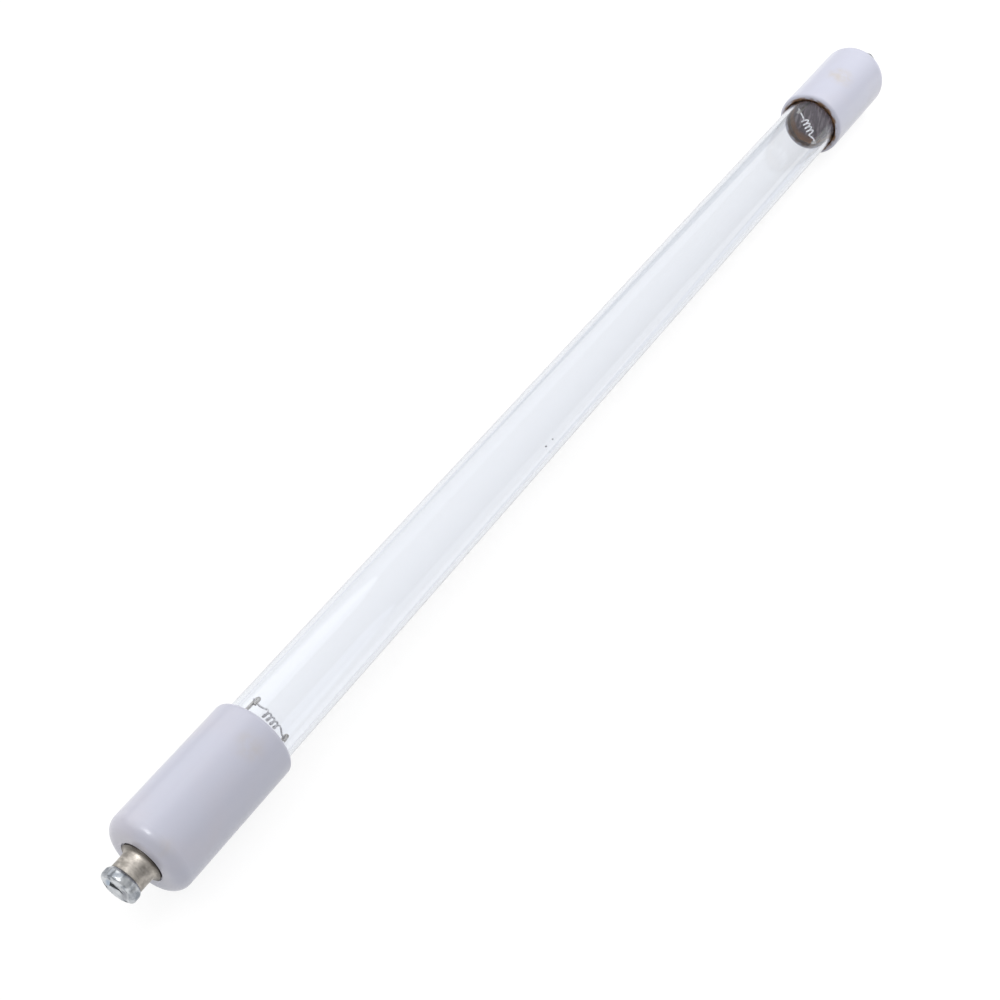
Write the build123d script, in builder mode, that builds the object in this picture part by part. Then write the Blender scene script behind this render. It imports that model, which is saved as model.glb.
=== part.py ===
"""Ultraviolet tube lamp with one contact pin at each end.

A clear quartz tube is pinched shut at both ends round molybdenum foils and lies along X.
Inside, each end has a coiled filament held between two hooked lead wires.  Behind the
filament the leads pass through the pinched glass to the foils, and two outer leads run on
through the hollow contact pin to the solder that closes its tip.  A white ceramic cap is
cemented over each end, and the contact pin is riveted through the cap's end wall.

All lengths are in millimetres.  The origin is the middle of the lamp, on its axis.
Positions at an end are counted outwards along the axis from that cap's mouth.
"""

import os
from math import cos, radians, sin

from build123d import *

# Overall sizes
lit_length = 255.0  # clear tube between the mouths of the two caps
tube_diameter = 15.5
tube_wall = 1.0

# Ceramic cap
cap_wall = 1.3
cap_bore_gap = 0.4  # room for cement between tube and cap
cap_end_wall = 5.5
cap_end_round = 3.0
cap_mouth_round = 1.0
cap_bore_round = 1.5
cap_recess_depth = 0.3  # shallow seat of the pin's collar
cap_recess_margin = 0.3

# Contact pin
pin_diameter = 7.2  # at the neck, the narrowest part
pin_length = 6.9  # from the cap's end face to the solder's tip
pin_neck_end = 4.4  # where the bare neck gives way to solder
pin_collar_diameter = 9.3
pin_collar_thickness = 0.5
pin_flare_length = 2.4  # hollow sweep from the collar to the neck
pin_wall = 0.8
pin_shank_diameter = 5.0
pin_shank_bore = 3.4
pin_floor = 1.0  # metal between the collar's seat and the wide bore
pin_metal_end = 6.0  # end of the pin's own metal, under the solder
pin_metal_step = 0.35  # how far that end is turned down
rivet_diameter = 7.0  # head rolled over inside the cap
rivet_thickness = 0.6
rivet_round = 0.25

# Solder at the tip
solder_diameter = 8.3  # widest part past the collar, where the lamp holder grips
solder_swell = 0.9  # length in which the solder bulges out from the neck
solder_round = 1.0
solder_plug_length = 3.2
stake_length = 5.0  # hollow struck into the tip, with four sloping sides
stake_width = 3.0
stake_depth = 0.4
slit_length = 3.4  # flat bottom of the hollow
slit_width = 0.7
slit_depth = 0.8
slit_turn = 17.0  # slit's tilt from the horizontal

# Filament and its place
lead_turn = 54.0  # tilt of the plane that holds both leads, from the horizontal
lead_wall_gap = 1.75  # from the middle of a lead to the inside of the tube
filament_wire = 0.36
coil_radius = 0.85
coil_pitch = 1.1
coil_turns = 4.0
filament_straight = 0.7  # straight wire each side of a hook
left_filament_place = -4.5  # the caps are cemented on by hand, so one filament shows
right_filament_place = -1.4  # further out of its cap than the other

# Lead wires and foils
inner_lead_diameter = 0.7
hook_reach = 0.9  # how far the hook stands past the filament, each way
hook_slack = 0.04  # spare width of the hook's slot
outer_lead_diameter = 0.6
outer_lead_spacing = 0.9  # between the outer leads inside the pin
outer_lead_bend = 1.4
outer_lead_straight = 1.0  # straight run at each end of the slanting part
outer_lead_depth = 1.0  # how far the leads reach into the solder plug
foil_width = 3.4
foil_thickness = 0.06
foil_length = 7.0
weld_overlap = 2.0  # length of lead that lies on the foil

# Glass behind the filament
cavity_depth = 5.4  # from the filament to the end of the hollow
cavity_round = 2.0
glass_back = 1.5  # glass between the hollow's end and the pinch shoulder
shoulder_length = 5.0
press_thickness = 4.0
press_length = 10.5
lead_room = 5.9  # from the glass to the rivet, at the end whose glass reaches further

# Cement
cement_start = 0.3  # set back from the mouth of the cap
cement_length = 13.0

# Mercury
bead_turn = 245.0
bead_radius = 0.30
bead_position = -22.5  # along the lamp
small_bead_radius = 0.22
small_bead_position = -19.5

# Clearance between pieces that are sealed or cast round each other
seat_gap = 0.02

# Values worked out from those above
tube_radius = tube_diameter / 2
hollow_radius = tube_radius - tube_wall
lead_spacing = 2 * (hollow_radius - lead_wall_gap)
bore_radius = tube_radius + cap_bore_gap
cap_radius = bore_radius + cap_wall
filament_to_glass_end = cavity_depth + glass_back + shoulder_length + press_length
longest_glass = max(left_filament_place, right_filament_place) + filament_to_glass_end
wall_inside = longest_glass + lead_room + rivet_thickness
cap_length = wall_inside + cap_end_wall
collar_seat = cap_length - cap_recess_depth
pin_radius = pin_diameter / 2
pin_bore_radius = pin_radius - pin_wall
step_radius = pin_radius - pin_metal_step
solder_radius = solder_diameter / 2
neck_end = cap_length + pin_neck_end
metal_end = cap_length + pin_metal_end
tip_end = cap_length + pin_length
plug_start = tip_end - solder_plug_length
rivet_face = wall_inside - rivet_thickness
mouth_place = lit_length / 2
inner_lead_offset = (foil_thickness + inner_lead_diameter) / 2
outer_lead_offset = (foil_thickness + outer_lead_diameter) / 2
hook_width = inner_lead_diameter + filament_wire + hook_slack
filament_offset = inner_lead_offset - hook_width / 2
coil_length = coil_turns * coil_pitch
lead_direction = Vector(0, cos(radians(lead_turn)), sin(radians(lead_turn)))
slit_direction = Vector(0, cos(radians(slit_turn)), sin(radians(slit_turn)))

# Each end: its side of the lamp, and how far its filament lies inside the cap's mouth
ends = {"left": (-1, left_filament_place), "right": (1, right_filament_place)}


def profile_plane(side):
    """Half section through the lamp's axis: x is outwards from the cap's mouth, y the radius."""
    return Plane(origin=(side * mouth_place, 0, 0), x_dir=(side, 0, 0), z_dir=(0, -side, 0))


def cross_plane(side, position, across=lead_direction):
    """Square to the axis at a position of one end: x runs from lead to lead."""
    origin = (side * (mouth_place + position), 0, 0)
    return Plane(origin=origin, x_dir=across, z_dir=(side, 0, 0))


def lead_plane(side, offset):
    """Along both leads of one end: x is outwards, y from lead to lead; offset above the foils."""
    square = cross_plane(side, 0)
    normal = square.z_dir.cross(square.x_dir)
    return Plane(origin=square.origin + normal * offset, x_dir=square.z_dir, z_dir=normal)


def edge_plane(side, across=0.0):
    """Seen along the line from lead to lead: x is outwards, y is up from the foils."""
    square = cross_plane(side, 0)
    outwards = square.z_dir
    upwards = square.z_dir.cross(square.x_dir)
    origin = square.origin + square.x_dir * across
    return Plane(origin=origin, x_dir=outwards, z_dir=outwards.cross(upwards))


def lamp_axis(side):
    """The lamp's axis, pointing outwards at one end."""
    return Axis((0, 0, 0), (side, 0, 0))


def nearest_corner(section, along, out):
    """The corner of an open sketch nearest to a point given in the sketch's own plane."""
    return section.vertices().sort_by_distance((along, out, 0))[0]


def end_stations(inset):
    """Hollow's end, pinch shoulder, and the pinch's two ends, from the filament's position."""
    hollow_end = inset + cavity_depth
    shoulder_start = hollow_end + glass_back
    press_start = shoulder_start + shoulder_length
    press_end = press_start + press_length
    return hollow_end, shoulder_start, press_start, press_end


def foil_span(inset):
    """Positions where one end's foils begin and stop, in the middle of the pinched glass."""
    press_start, press_end = end_stations(inset)[2:]
    middle = (press_start + press_end) / 2
    return middle - foil_length / 2, middle + foil_length / 2


def envelope_outline(grow=0.0):
    """The outside of the glass, grown by a clearance: a round tube pinched flat at both ends."""
    radius = tube_radius + grow
    half_press = press_thickness / 2 + grow
    left_end = end_stations(ends["left"][1])[-1] + grow
    right_end = end_stations(ends["right"][1])[-1] + grow
    with BuildPart() as outline:
        with BuildSketch(cross_plane(-1, left_end)):
            Circle(radius)
        extrude(amount=-(left_end + right_end + lit_length))
        for side, inset in ends.values():
            shoulder_start, press_start, press_end = end_stations(inset)[1:]
            outside = radius + tube_wall
            past_end = press_end + tube_wall
            for face in (1, -1):
                above = (shoulder_start, face * outside)
                landing = (press_start, face * half_press)
                with BuildSketch(edge_plane(side)):
                    with BuildLine():
                        Spline(above, landing, tangents=((1, -face), (1, 0)))
                        Polyline(landing, (past_end, landing[1]), (past_end, above[1]), above)
                    make_face()
                extrude(amount=outside, both=True, mode=Mode.SUBTRACT)
    return outline.part


def make_quartz_tube():
    """The envelope: hollow tube, pinched ends, and the sealed passages of leads and foils."""
    left_hollow = end_stations(ends["left"][1])[0]
    right_hollow = end_stations(ends["right"][1])[0]
    with BuildPart() as hollow:
        with BuildSketch(cross_plane(-1, left_hollow)):
            Circle(hollow_radius)
        extrude(amount=-(left_hollow + right_hollow + lit_length))
        fillet(hollow.edges().filter_by(GeomType.CIRCLE), cavity_round)
    inner_passage = inner_lead_diameter / 2 + seat_gap
    outer_passage = outer_lead_diameter / 2 + seat_gap
    with BuildPart() as tube:
        add(envelope_outline())
        add(hollow.part, mode=Mode.SUBTRACT)
        for side, inset in ends.values():
            hollow_end, press_end = end_stations(inset)[::3]
            foil_start, foil_stop = foil_span(inset)
            inner_start = hollow_end - cavity_round
            inner_stop = foil_start + weld_overlap + seat_gap
            outer_start = foil_stop - weld_overlap - seat_gap
            with BuildSketch(cross_plane(side, inner_start)):
                with Locations((0, inner_lead_offset)):
                    with GridLocations(lead_spacing, 0, 2, 1):
                        Circle(inner_passage)
            extrude(amount=inner_stop - inner_start, mode=Mode.SUBTRACT)
            with BuildSketch(cross_plane(side, foil_start - seat_gap)):
                with GridLocations(lead_spacing, 0, 2, 1):
                    Rectangle(foil_width + 2 * seat_gap, foil_thickness + 2 * seat_gap)
            extrude(amount=foil_length + 2 * seat_gap, mode=Mode.SUBTRACT)
            with BuildSketch(cross_plane(side, outer_start)):
                with Locations((0, outer_lead_offset)):
                    with GridLocations(lead_spacing, 0, 2, 1):
                        Circle(outer_passage)
            extrude(amount=press_end - outer_start, mode=Mode.SUBTRACT)
    return tube.part


def make_ceramic_cap(side):
    """White ceramic cap: a cup over the tube's end, with the pin's hole in its end wall."""
    hole_radius = pin_shank_diameter / 2 + seat_gap
    recess_radius = pin_collar_diameter / 2 + cap_recess_margin
    with BuildPart() as cap:
        with BuildSketch(profile_plane(side)) as section:
            with BuildLine():
                Polyline(
                    (0, bore_radius),
                    (0, cap_radius),
                    (cap_length, cap_radius),
                    (cap_length, recess_radius),
                    (collar_seat, recess_radius),
                    (collar_seat, hole_radius),
                    (wall_inside, hole_radius),
                    (wall_inside, bore_radius),
                    close=True,
                )
            make_face()
            fillet(nearest_corner(section, cap_length, cap_radius), cap_end_round)
            fillet(nearest_corner(section, 0, cap_radius), cap_mouth_round)
            fillet(nearest_corner(section, wall_inside, bore_radius), cap_bore_round)
        revolve(axis=lamp_axis(side))
    return cap.part


def make_contact_pin(side):
    """Plated pin: collar in the cap's recess, hollow neck, and a shank riveted inside."""
    shank_radius = pin_shank_diameter / 2
    shank_bore = pin_shank_bore / 2
    collar_radius = pin_collar_diameter / 2
    collar_top = collar_seat + pin_collar_thickness
    flare_end = collar_top + pin_flare_length
    bore_floor = collar_seat + pin_floor
    with BuildPart() as pin:
        with BuildSketch(profile_plane(side)) as section:
            with BuildLine():
                Polyline(
                    (metal_end, pin_bore_radius),
                    (bore_floor, pin_bore_radius),
                    (bore_floor, shank_bore),
                    (rivet_face, shank_bore),
                    (rivet_face, rivet_diameter / 2),
                    (wall_inside, rivet_diameter / 2),
                    (wall_inside, shank_radius),
                    (collar_seat, shank_radius),
                    (collar_seat, collar_radius),
                    (collar_top, collar_radius),
                )
                Spline(
                    (collar_top, collar_radius),
                    (flare_end, pin_radius),
                    tangents=((0, -1), (1, 0)),
                )
                Polyline(
                    (flare_end, pin_radius),
                    (neck_end, pin_radius),
                    (neck_end, step_radius),
                    (metal_end, step_radius),
                    (metal_end, pin_bore_radius),
                )
            make_face()
            fillet(nearest_corner(section, rivet_face, rivet_diameter / 2), rivet_round)
        revolve(axis=lamp_axis(side))
    return pin.part


def make_tip_solder(side):
    """Solder that closes the pin: a plug in its bore and a dressed cap struck with a hollow."""
    plug_radius = pin_bore_radius - seat_gap
    cover_radius = step_radius + seat_gap
    cover_floor = metal_end + seat_gap
    swell_end = neck_end + solder_swell
    lead_stop = plug_start + outer_lead_depth + seat_gap
    with BuildPart() as solder:
        with BuildSketch(profile_plane(side)) as section:
            with BuildLine():
                Polyline(
                    (swell_end, solder_radius),
                    (tip_end, solder_radius),
                    (tip_end, 0),
                    (plug_start, 0),
                    (plug_start, plug_radius),
                    (cover_floor, plug_radius),
                    (cover_floor, cover_radius),
                    (neck_end, cover_radius),
                    (neck_end, pin_radius),
                )
                Spline(
                    (neck_end, pin_radius),
                    (swell_end, solder_radius),
                    tangents=((0, 1), (1, 0)),
                )
            make_face()
            fillet(nearest_corner(section, tip_end, solder_radius), solder_round)
        revolve(axis=lamp_axis(side))
        with BuildSketch(cross_plane(side, tip_end, slit_direction)):
            Rectangle(stake_length, stake_width)
        with BuildSketch(cross_plane(side, tip_end - stake_depth, slit_direction)):
            Rectangle(slit_length, slit_width)
        loft(mode=Mode.SUBTRACT)
        with BuildSketch(cross_plane(side, tip_end - stake_depth, slit_direction)):
            Rectangle(slit_length, slit_width)
        extrude(amount=-slit_depth, mode=Mode.SUBTRACT)
        with BuildSketch(cross_plane(side, plug_start)):
            with Locations((0, outer_lead_offset)):
                with GridLocations(outer_lead_spacing, 0, 2, 1):
                    Circle(outer_lead_diameter / 2 + seat_gap)
        extrude(amount=lead_stop - plug_start, mode=Mode.SUBTRACT)
    return solder.part


def make_base_cement(side):
    """Baked cement that fills the cap's bore round the tube's end."""
    with BuildPart() as cement:
        with BuildSketch(cross_plane(side, cement_start)):
            Circle(bore_radius - seat_gap)
        extrude(amount=cement_length)
        add(envelope_outline(seat_gap), mode=Mode.SUBTRACT)
    return cement.part


def make_inner_lead(side, inset, row):
    """Lead wire of one filament end, from its weld on the foil to the hook on the filament."""
    lead_stop = foil_span(inset)[0] + weld_overlap
    hook_start = inset - hook_reach + hook_width / 2
    with BuildPart() as lead:
        with BuildLine(edge_plane(side, row * lead_spacing / 2)) as path:
            Line((lead_stop, inner_lead_offset), (hook_start, inner_lead_offset))
            ThreePointArc(
                (hook_start, inner_lead_offset),
                (hook_start - hook_width / 2, inner_lead_offset - hook_width / 2),
                (hook_start, inner_lead_offset - hook_width),
            )
            Line(
                (hook_start, inner_lead_offset - hook_width),
                (inset + hook_reach, inner_lead_offset - hook_width),
            )
        with BuildSketch(path.wires()[0] ^ 0):
            Circle(inner_lead_diameter / 2)
        sweep(path=path.wires()[0])
    return lead.part


def make_foil(side, inset, row):
    """Thin molybdenum foil sealed in the pinched glass."""
    foil_start = foil_span(inset)[0]
    with BuildPart() as foil:
        with BuildSketch(cross_plane(side, foil_start)):
            with Locations((row * lead_spacing / 2, 0)):
                Rectangle(foil_width, foil_thickness)
        extrude(amount=foil_length)
    return foil.part


def make_outer_lead(side, inset, row):
    """Lead wire from its weld on the foil, drawn in towards the pin and up to the solder."""
    foil_stop = foil_span(inset)[1]
    press_end = end_stations(inset)[-1]
    wide = row * lead_spacing / 2
    narrow = row * outer_lead_spacing / 2
    with BuildPart() as lead:
        with BuildLine(lead_plane(side, outer_lead_offset)) as path:
            FilletPolyline(
                (foil_stop - weld_overlap, wide),
                (press_end + outer_lead_straight, wide),
                (rivet_face - outer_lead_straight, narrow),
                (plug_start + outer_lead_depth, narrow),
                radius=outer_lead_bend,
            )
        with BuildSketch(path.wires()[0] ^ 0):
            Circle(outer_lead_diameter / 2)
        sweep(path=path.wires()[0])
    return lead.part


def make_filament():
    """Open coil of tungsten wire with a drawn-out leg at each end, upright on the origin."""
    half_coil = coil_length / 2
    leg_end = lead_spacing / 2 + filament_straight
    leg_start = lead_spacing / 2 - filament_straight
    with BuildPart() as filament:
        with BuildLine() as path:
            coil = Helix(coil_pitch, coil_length, coil_radius, center=(0, 0, -half_coil))
            Line((0, 0, -leg_end), (0, 0, -leg_start))
            Spline((0, 0, -leg_start), coil @ 0, tangents=((0, 0, 1), coil % 0))
            Spline(coil @ 1, (0, 0, leg_start), tangents=(coil % 1, (0, 0, 1)))
            Line((0, 0, leg_start), (0, 0, leg_end))
        with BuildSketch(Plane.XY.offset(-leg_end)):
            Circle(filament_wire / 2)
        sweep(path=path.wires()[0])
    return filament.part


def filament_place(side, inset):
    """Where one end's filament stands: along the line from lead to lead, in the hooks."""
    square = cross_plane(side, inset)
    upwards = square.z_dir.cross(square.x_dir)
    return Plane(
        origin=square.origin + upwards * filament_offset, x_dir=(-side, 0, 0), z_dir=lead_direction
    )


def make_mercury_beads():
    """Small drops of mercury lying low on the inner wall of the tube."""
    with BuildPart() as beads:
        for along, size in (
            (bead_position, bead_radius),
            (small_bead_position, small_bead_radius),
        ):
            out = hollow_radius - size - seat_gap
            across = out * cos(radians(bead_turn))
            upward = out * sin(radians(bead_turn))
            with Locations((along, across, upward)):
                Sphere(size)
    return beads.part


def save(part, name):
    """Label a finished piece and write its file."""
    part.label = name
    export_step(part, f"parts/{name}.step")


def main():
    os.makedirs("parts", exist_ok=True)
    save(make_quartz_tube(), "quartz_tube")
    save(make_mercury_beads(), "mercury_beads")
    filament = make_filament()
    for end, (side, inset) in ends.items():
        save(make_ceramic_cap(side), f"{end}_ceramic_cap")
        save(make_contact_pin(side), f"{end}_contact_pin")
        save(make_tip_solder(side), f"{end}_tip_solder")
        save(make_base_cement(side), f"{end}_base_cement")
        save(filament_place(side, inset) * filament, f"{end}_filament")
        for row, place in ((-1, "lower"), (1, "upper")):
            save(make_inner_lead(side, inset, row), f"{end}_{place}_inner_lead")
            save(make_foil(side, inset, row), f"{end}_{place}_foil")
            save(make_outer_lead(side, inset, row), f"{end}_{place}_outer_lead")


if __name__ == "__main__":
    main()
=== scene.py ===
"""Dresses the ultraviolet lamp: finishes, glass, filaments, end pieces, camera and light."""

import logging
import math
from collections.abc import Callable
from dataclasses import dataclass, replace
from enum import Enum

import bmesh
import bpy
from bmesh.types import BMesh, BMVert
from bpy.types import ID, Material, Node, NodeSocket, Object
from mathutils import Matrix, Vector


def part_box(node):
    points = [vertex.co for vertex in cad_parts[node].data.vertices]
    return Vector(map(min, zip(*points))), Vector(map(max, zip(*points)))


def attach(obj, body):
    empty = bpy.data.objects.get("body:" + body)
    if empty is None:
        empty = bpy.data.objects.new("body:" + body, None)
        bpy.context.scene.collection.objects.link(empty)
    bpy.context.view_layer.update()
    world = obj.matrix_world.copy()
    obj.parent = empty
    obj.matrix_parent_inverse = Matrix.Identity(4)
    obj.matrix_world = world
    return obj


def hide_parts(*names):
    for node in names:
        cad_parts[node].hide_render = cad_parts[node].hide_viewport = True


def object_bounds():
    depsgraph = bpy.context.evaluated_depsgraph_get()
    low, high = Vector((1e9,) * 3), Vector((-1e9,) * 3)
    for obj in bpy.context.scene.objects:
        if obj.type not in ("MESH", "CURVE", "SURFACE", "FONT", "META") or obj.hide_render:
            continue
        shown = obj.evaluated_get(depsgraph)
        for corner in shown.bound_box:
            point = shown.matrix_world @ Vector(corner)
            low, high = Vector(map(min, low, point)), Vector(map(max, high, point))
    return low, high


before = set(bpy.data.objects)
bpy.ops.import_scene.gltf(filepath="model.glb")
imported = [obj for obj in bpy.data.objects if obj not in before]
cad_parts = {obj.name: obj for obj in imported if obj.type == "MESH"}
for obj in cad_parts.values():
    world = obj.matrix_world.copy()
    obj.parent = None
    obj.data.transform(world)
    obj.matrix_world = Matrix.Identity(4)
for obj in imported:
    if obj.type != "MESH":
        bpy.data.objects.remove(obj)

CAD_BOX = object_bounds()
LOG = logging.getLogger("ultraviolet_lamp")
MM = 0.001
BODY = "root"
WELD = 1e-7  # vertices nearer than this are merged, metres
LEAST = 1e-12  # the least length to divide by, metres
X_AXIS = Vector((1, 0, 0))  # the lamp's axis
LEAD_TURN = math.radians(54.0)  # tilt of the plane that holds the leads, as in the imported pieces
LEAD_LINE = Vector((0, math.cos(LEAD_TURN), math.sin(LEAD_TURN)))  # from lead to lead
FLAT_LINE = X_AXIS.cross(LEAD_LINE)  # square to it, across the pinch
SLIT_TURN = math.radians(17.0)  # tilt of the slit in each pin's solder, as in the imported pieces


class End(Enum):
    """The two ends of the lamp: node prefix and side along X."""

    LEFT = ("left", -1)
    RIGHT = ("right", 1)

    @property
    def prefix(self) -> str:
        """The start of this end's node names."""
        return self.value[0]

    @property
    def side(self) -> int:
        """Which way this end points along X."""
        return self.value[1]


@dataclass(frozen=True)
class Stations:
    """Places along one end, all on the X axis in metres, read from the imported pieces."""

    end: End
    mouth: float
    cap_face: float
    tip: float
    filament: float
    glass_end: float

    @classmethod
    def read(cls, end: End) -> "Stations":
        """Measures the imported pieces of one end.

        Args:
            end: The end to measure.

        Returns:
            Its places.
        """
        outer = 1 if end.side > 0 else 0
        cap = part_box(f"{end.prefix}_ceramic_cap")
        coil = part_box(f"{end.prefix}_filament")
        return cls(
            end=end,
            mouth=cap[1 - outer].x,
            cap_face=cap[outer].x,
            tip=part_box(f"{end.prefix}_tip_solder")[outer].x,
            filament=(coil[0].x + coil[1].x) / 2,
            glass_end=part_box("quartz_tube")[outer].x,
        )


def operator(operation: str, swapped: bool = False) -> Callable:
    """Makes a method of Signal that adds one Math node.

    Args:
        operation: Blender's name for what the node does.
        swapped: Whether the other operand comes first.

    Returns:
        The method.
    """

    def method(self: "Signal", other: object = 0.0) -> "Signal":
        """Adds the node, with a number or a Signal as the other operand."""
        operands = {0: other, 1: self} if swapped else {0: self, 1: other}
        return self.shader.value("ShaderNodeMath", {"operation": operation}, operands)

    return method


class Signal:
    """A shader socket that takes part in Python arithmetic by adding Math nodes."""

    def __init__(self, shader: "Shader", socket: NodeSocket) -> None:
        """Wraps an output socket of the nodes under construction."""
        self.shader = shader
        self.socket = socket

    __add__ = __radd__ = operator("ADD")
    __sub__ = operator("SUBTRACT")
    __rsub__ = operator("SUBTRACT", swapped=True)
    __mul__ = __rmul__ = operator("MULTIPLY")
    __truediv__ = operator("DIVIDE")
    __pow__ = operator("POWER")
    __lt__ = operator("LESS_THAN")
    __gt__ = operator("GREATER_THAN")
    __abs__ = operator("ABSOLUTE")

    def step(self, low: float, high: float) -> "Signal":
        """A smooth mask that leaves 0 at the low value and reaches 1 at the high one."""
        inputs = {"Value": self, "From Min": low, "From Max": high}
        return self.shader.value("ShaderNodeMapRange", {"interpolation_type": "SMOOTHSTEP"}, inputs)


class Shader:
    """The nodes of one material, or of the world, under construction."""

    def __init__(self, name: str, world: bool = False) -> None:
        """Starts without nodes.

        Args:
            name: The name of the material or world.
            world: Whether it is a world.
        """
        self.owner = (bpy.data.worlds if world else bpy.data.materials).new(name)
        self.owner.use_nodes = True
        self.tree = self.owner.node_tree
        self.tree.nodes.clear()
        kind = "ShaderNodeOutputWorld" if world else "ShaderNodeOutputMaterial"
        self.output = self.tree.nodes.new(kind)

    def node(self, kind: str, settings: dict[str, object], inputs: dict[object, object]) -> Node:
        """Adds a node.

        Args:
            kind: Blender's node type.
            settings: Attributes set first; "stops" gives a colour ramp's stops.
            inputs: A value, colour, vector, socket or Signal for each input.

        Returns:
            The new node.
        """
        node = self.tree.nodes.new(kind)
        for key, value in settings.items():
            if key == "stops":
                ramp = node.color_ramp
                while len(ramp.elements) < len(value):
                    ramp.elements.new(0.5)
                for element, (position, colour) in zip(ramp.elements, value):
                    element.position = position
                    element.color = (*colour, 1.0)
            else:
                setattr(node, key, value)
        for key, value in inputs.items():
            if isinstance(value, Signal):
                self.tree.links.new(value.socket, node.inputs[key])
            elif isinstance(value, NodeSocket):
                self.tree.links.new(value, node.inputs[key])
            elif node.inputs[key].type == "RGBA":
                node.inputs[key].default_value = (*value, 1.0)
            else:
                node.inputs[key].default_value = value
        return node

    def value(self, kind: str, settings: dict, inputs: dict, output: object = 0) -> Signal:
        """Adds a node as above and wraps one of its outputs."""
        return Signal(self, self.node(kind, settings, inputs).outputs[output])

    def place(self, origin: Vector | None = None, scale: tuple = (1.0, 1.0, 1.0)) -> NodeSocket:
        """Object coordinates, moved and scaled.

        Args:
            origin: The point that becomes the pattern's own origin, in metres.
            scale: The factor along each axis after the move.

        Returns:
            The vector socket.
        """
        coordinates = self.node("ShaderNodeTexCoord", {}, {}).outputs["Object"]
        if origin is not None:
            inputs = {0: coordinates, 1: tuple(origin)}
            moved = self.node("ShaderNodeVectorMath", {"operation": "SUBTRACT"}, inputs)
            coordinates = moved.outputs["Vector"]
        scaled = self.node("ShaderNodeMapping", {}, {"Vector": coordinates, "Scale": scale})
        return scaled.outputs["Vector"]

    def noise(self, size: float, place: NodeSocket | None = None, detail: float = 3.0) -> Signal:
        """Cloudy noise between 0 and 1, with patches of a size in metres and some finer layers."""
        inputs = {"Vector": place or self.place(), "Scale": 1.0 / size, "Detail": detail}
        return self.value("ShaderNodeTexNoise", {}, inputs)

    def specks(self, spacing: float, radius: float, core: float = 0.5) -> Signal:
        """Small round dots, one at most in each cell.

        Args:
            spacing: The size of a cell in metres.
            radius: The radius of a dot in metres.
            core: The share of the radius inside which it is full.

        Returns:
            One inside a dot and zero outside.
        """
        inputs = {"Vector": self.place(), "Scale": 1.0 / spacing, "Randomness": 1.0}
        distance = self.value("ShaderNodeTexVoronoi", {"feature": "F1"}, inputs, "Distance")
        reach = radius / spacing
        return 1.0 - distance.step(core * reach, reach)

    def axes(self, origin: Vector | None = None) -> tuple[Signal, Signal, Signal]:
        """The three object coordinates as numbers, in metres from a point."""
        node = self.node("ShaderNodeSeparateXYZ", {}, {0: self.place(origin)})
        return tuple(Signal(self, node.outputs[index]) for index in range(3))

    def radius(self) -> Signal:
        """The distance from the lamp's axis in metres."""
        _, across, upward = self.axes()
        return (across * across + upward * upward) ** 0.5

    def near(self, point: tuple, reach: float, core: float = 0.15) -> Signal:
        """A soft round patch.

        Args:
            point: Its middle in metres.
            reach: The distance in metres at which it has faded away.
            core: The share of the reach inside which it is full.

        Returns:
            One in the middle and zero past the reach.
        """
        along, across, upward = self.axes(Vector(point))
        distance = (along * along + across * across + upward * upward) ** 0.5
        return 1.0 - distance.step(core * reach, reach)

    def blend(self, factor: Signal, low: object, high: object) -> NodeSocket:
        """A colour between two others, by the share of the second."""
        inputs = {0: factor, 6: low, 7: high}
        return self.node("ShaderNodeMix", {"data_type": "RGBA"}, inputs).outputs[2]

    def ramp(self, value: Signal, stops: tuple) -> NodeSocket:
        """A colour picked from stops by a value."""
        return self.node("ShaderNodeValToRGB", {"stops": stops}, {"Fac": value}).outputs["Color"]

    def bump(self, height: Signal, depth: float, strength: float) -> NodeSocket:
        """A bumped normal, from heights of 0 to 1, their depth in metres and a share."""
        inputs = {"Height": height, "Distance": depth, "Strength": strength}
        return self.node("ShaderNodeBump", {}, inputs).outputs["Normal"]

    def surface(self, **inputs: object) -> Material:
        """Closes the material with a Principled shader, its sockets named with underscores."""
        named = {key.replace("_", " "): value for key, value in inputs.items()}
        return self.close(self.node("ShaderNodeBsdfPrincipled", {}, named))

    def close(self, node: Node) -> ID:
        """Links the last node to the output and hands the finished material or world over."""
        self.tree.links.new(node.outputs[0], self.output.inputs[0])
        return self.owner


@dataclass(frozen=True)
class QuartzFinish:
    """Clear fused quartz with the faintest cool tint, greyed towards its edges by painted shade."""

    tint: tuple = (0.93, 0.945, 0.975)
    # painted shade: darker tints for the band inside the wall and for the line at the edge
    wall_shade_tint: tuple = (0.72, 0.75, 0.81)
    edge_shade_tint: tuple = (0.46, 0.49, 0.54)
    slant_blend: float = 0.35  # Layer Weight's Blend, the scale of both ranges below
    wall_shade_range: tuple = (0.385, 0.400)
    edge_shade_range: tuple = (0.42, 1.0)
    outer_skin: float = 7.25 * MM  # radius that parts the tube's outer skin from its hollow's
    gloss_tint: tuple = (0.80, 0.83, 0.90)
    index: float = 1.46

    def material(self) -> Material:
        """Builds the glass, with painted shade: darker where light runs along inside its wall, and
        a grey line at its edge.

        Returns:
            The material.
        """
        shader = Shader("quartz_glass")
        blend = {"Blend": self.slant_blend}
        slant = shader.value("ShaderNodeLayerWeight", {}, blend, "Facing")
        outer = shader.radius() > self.outer_skin
        # painted shade: the base colour darkens where the glass is seen at a slant, for the tube's
        # dark edge lines
        wall = slant.step(*self.wall_shade_range) * outer
        edge = slant.step(*self.edge_shade_range) * outer
        within = shader.blend(wall, self.tint, self.wall_shade_tint)
        return shader.surface(
            Base_Color=shader.blend(edge, within, self.edge_shade_tint),
            Roughness=0.0,
            IOR=self.index,
            Transmission_Weight=1.0,
            Specular_Tint=self.gloss_tint,
        )


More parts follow.
